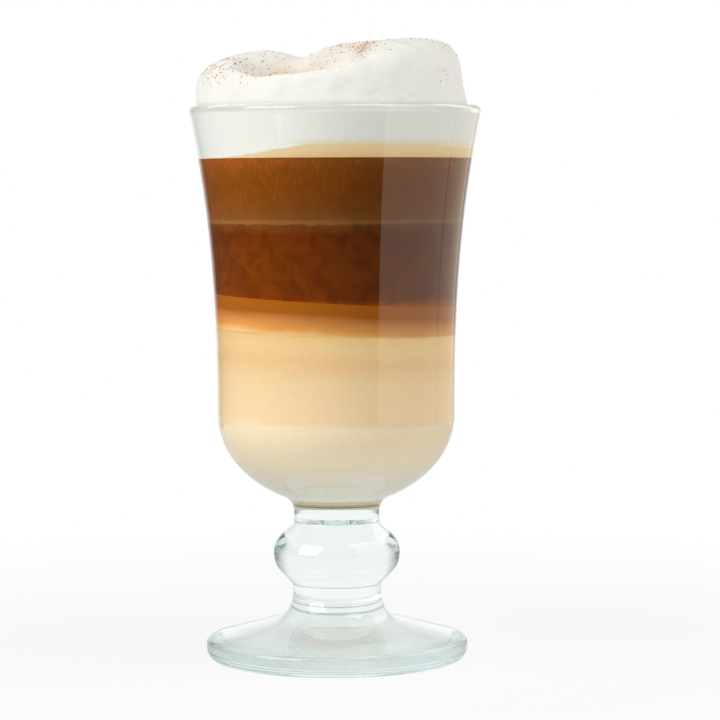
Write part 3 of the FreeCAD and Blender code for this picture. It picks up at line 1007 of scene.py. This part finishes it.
def make_floor(half=0.32):
    """A pale matt floor that keeps a soft shadow. It glows white to the camera, a little less
    within 0.28 m of the drink, fully for rays the glass has bent, and at 0.45 as fill light."""
    material, tree = new_material("white_studio_floor")
    matt = node(tree, "BsdfDiffuse", {"Color": rgba((0.92, 0.92, 0.92))})
    glow = node(tree, "Emission", {"Color": rgba((1, 1, 1)), "Strength": 1.0})
    path = node(tree, "LightPath")
    place = node(tree, "TexCoord")
    away = node(tree, "VectorMath", {"operation": "LENGTH"}, {0: (place, "Object")})
    edge = node(tree, "MapRange",
                {"From Min": 0.1, "From Max": 0.28, "To Min": 0.82, "To Max": 1.0},
                {"Value": (away, "Value")})
    seen = node(tree, "Math", {"operation": "MULTIPLY"}, {0: (path, "Is Camera Ray"), 1: (edge, 0)})
    shown = node(tree, "Math", {"operation": "MAXIMUM"},
                 {0: (seen, 0), 1: (path, "Is Transmission Ray")})
    amount = node(tree, "Math", {"operation": "MULTIPLY_ADD", 1: 0.45},
                  {0: (path, "Is Diffuse Ray"), 2: (shown, 0)})
    mix = node(tree, "MixShader", None, {0: (amount, 0), 1: (matt, 0), 2: (glow, 0)})
    node(tree, "OutputMaterial", None, {"Surface": (mix, 0)})
    points = np.array([(-half, -half, 0), (half, -half, 0), (half, half, 0), (-half, half, 0)])
    floor = mesh_object("studio_floor", points, [0, 1, 2, 3], [4], material)
    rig.stage(floor)


def make_world():
    """White for the camera. Rays bent by the glass see a wide white backdrop behind the drink
    and mirrored rays a narrow one, both with a bright ceiling and a dark room elsewhere. The
    fill light is a plain grey, brighter from below as over a white table."""
    world = bpy.data.worlds.new("studio")
    world.use_nodes = True
    tree = world.node_tree
    tree.nodes.clear()
    path = node(tree, "LightPath")
    place = node(tree, "TexCoord")
    split = node(tree, "SeparateXYZ", None, {0: (place, "Generated")})
    wide = node(tree, "MapRange",
                {"From Min": 0.3, "From Max": 0.75, "To Min": 0.12, "To Max": 1.0},
                {"Value": (split, "Y")})
    narrow = node(tree, "MapRange",
                  {"From Min": 0.86, "From Max": 0.97, "To Min": 0.08, "To Max": 1.0},
                  {"Value": (split, "Y")})
    behind = node(tree, "Mix", None,
                  {"Factor": (path, "Is Transmission Ray"), "A": (narrow, 0), "B": (wide, 0)})
    above = node(tree, "MapRange", {"From Min": 0.2, "From Max": 0.6, "To Min": 0.0, "To Max": 0.9},
                 {"Value": (split, "Z")})
    studio = node(tree, "Math", {"operation": "MAXIMUM"}, {0: (behind, 0), 1: (above, 0)})
    table = node(tree, "MapRange",
                 {"From Min": -0.3, "From Max": 0.05, "To Min": 0.6, "To Max": 0.24},
                 {"Value": (split, "Z")})
    fill = node(tree, "Mix", None,
                {"Factor": (path, "Is Diffuse Ray"), "A": (studio, 0), "B": (table, 0)})
    shown = node(tree, "Math", {"operation": "MAXIMUM"}, {0: (fill, 0), 1: (path, "Is Camera Ray")})
    light = node(tree, "Background", {"Color": rgba((1, 1, 1))}, {"Strength": (shown, 0)})
    node(tree, "OutputWorld", None, {"Surface": (light, 0)})
    bpy.context.scene.world = world


def make_lamp(name, azimuth, elevation, distance, width, height, radiance, tint, shines):
    """A soft rectangular lamp aimed at the drink. Azimuth 0 is the drinker's side and 90 their
    right. Its power comes from its radiance: watts = pi * area * radiance. The glass mirrors
    the lamps but isn't seen through to them; one that doesn't shine is only mirrored."""
    data = bpy.data.lights.new(name, "AREA")
    data.shape, data.size, data.size_y = "RECTANGLE", width, height
    data.energy = math.pi * width * height * radiance
    data.color = linear(tint)
    lamp = bpy.data.objects.new(name, data)
    a, e = math.radians(azimuth), math.radians(elevation)
    aim = np.array([math.sin(a) * math.cos(e), -math.cos(a) * math.cos(e), math.sin(e)])
    middle = np.array([0, 0, GLASS_HEIGHT / 2])
    turn = Matrix.Rotation(a, 4, "Z") @ Matrix.Rotation(math.pi / 2 - e, 4, "X")
    lamp.matrix_world = Matrix.Translation(middle + aim * distance) @ turn
    lamp.visible_transmission, lamp.visible_diffuse = False, shines
    bpy.context.scene.collection.objects.link(lamp)


def make_camera():
    """Camera at the drinker's side, a little lower than the lip and looking slightly down."""
    data = bpy.data.cameras.new("drinker")
    data.sensor_width, data.lens = 36.0, 147.63
    camera = bpy.data.objects.new("drinker", data)
    distance, height = 0.7864, 0.13106
    down, right, roll = (math.radians(value) for value in (3.707, 0.466, -0.21))
    camera.matrix_world = (Matrix.Translation((0, -distance, height))
                           @ Matrix.Rotation(-right, 4, "Z")
                           @ Matrix.Rotation(math.pi / 2 - down, 4, "X")
                           @ Matrix.Rotation(roll, 4, "Z"))
    data.clip_start, data.clip_end = 0.01, 20.0
    bpy.context.scene.collection.objects.link(camera)
    bpy.context.scene.camera = camera


class CAPPUCCINO_OT_stage(bpy.types.Operator):
    """Sets the floor, the studio light and the camera"""
    bl_idname = "cappuccino.stage"
    bl_label = "Stage"

    def execute(self, context):
        make_floor()
        make_world()
        for lamp in LAMPS:
            make_lamp(*lamp)
        make_camera()
        context.scene.view_settings.view_transform = "Standard"
        # light turns many times inside the thick foot before it leaves
        cycles = context.scene.cycles
        cycles.max_bounces, cycles.glossy_bounces, cycles.transmission_bounces = 32, 24, 24
        return {"FINISHED"}


class CAPPUCCINO_PT_panel(bpy.types.Panel):
    """Lists the steps that build the cappuccino"""
    bl_idname = "CAPPUCCINO_PT_panel"
    bl_label = "Cappuccino"
    bl_space_type = "VIEW_3D"
    bl_region_type = "UI"
    bl_category = "Cappuccino"

    def draw(self, context):
        for operator in OPERATORS:
            self.layout.operator(operator.bl_idname)
        for name, group in GROUPS.items():
            column = self.layout.column(heading=group.__doc__)
            for setting in group.__annotations__:
                column.prop(getattr(context.scene, name), setting)


GROUPS = {
    "cappuccino_glass": CAPPUCCINO_PG_glass,
    "cappuccino_drink": CAPPUCCINO_PG_drink,
    "cappuccino_foam": CAPPUCCINO_PG_foam,
    "cappuccino_dust": CAPPUCCINO_PG_dust,
}
OPERATORS = (CAPPUCCINO_OT_glass, CAPPUCCINO_OT_drink, CAPPUCCINO_OT_foam, CAPPUCCINO_OT_dust,
             CAPPUCCINO_OT_stage)


def register():
    """Registers the classes and hangs the settings on the scene."""
    for made in (*GROUPS.values(), *OPERATORS, CAPPUCCINO_PT_panel):
        bpy.utils.register_class(made)
    for name, group in GROUPS.items():
        setattr(bpy.types.Scene, name, bpy.props.PointerProperty(type=group))


def unregister():
    """Takes the settings and the classes away again."""
    for name in GROUPS:
        delattr(bpy.types.Scene, name)
    for made in (CAPPUCCINO_PT_panel, *reversed(OPERATORS), *reversed(GROUPS.values())):
        bpy.utils.unregister_class(made)


def main():
    """Registers the add-on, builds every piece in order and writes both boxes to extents.json."""
    register()
    bpy.ops.cappuccino.glass()
    bpy.ops.cappuccino.drink()
    bpy.ops.cappuccino.foam()
    bpy.ops.cappuccino.dust()
    bpy.ops.cappuccino.stage()
    boxes = {"cad": [list(corner) for corner in CAD_BOX],
             "visual": [list(corner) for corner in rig.bounds()]}
    with open("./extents.json", "w") as out:
        json.dump(boxes, out)


if __name__ == "__main__":
    main()
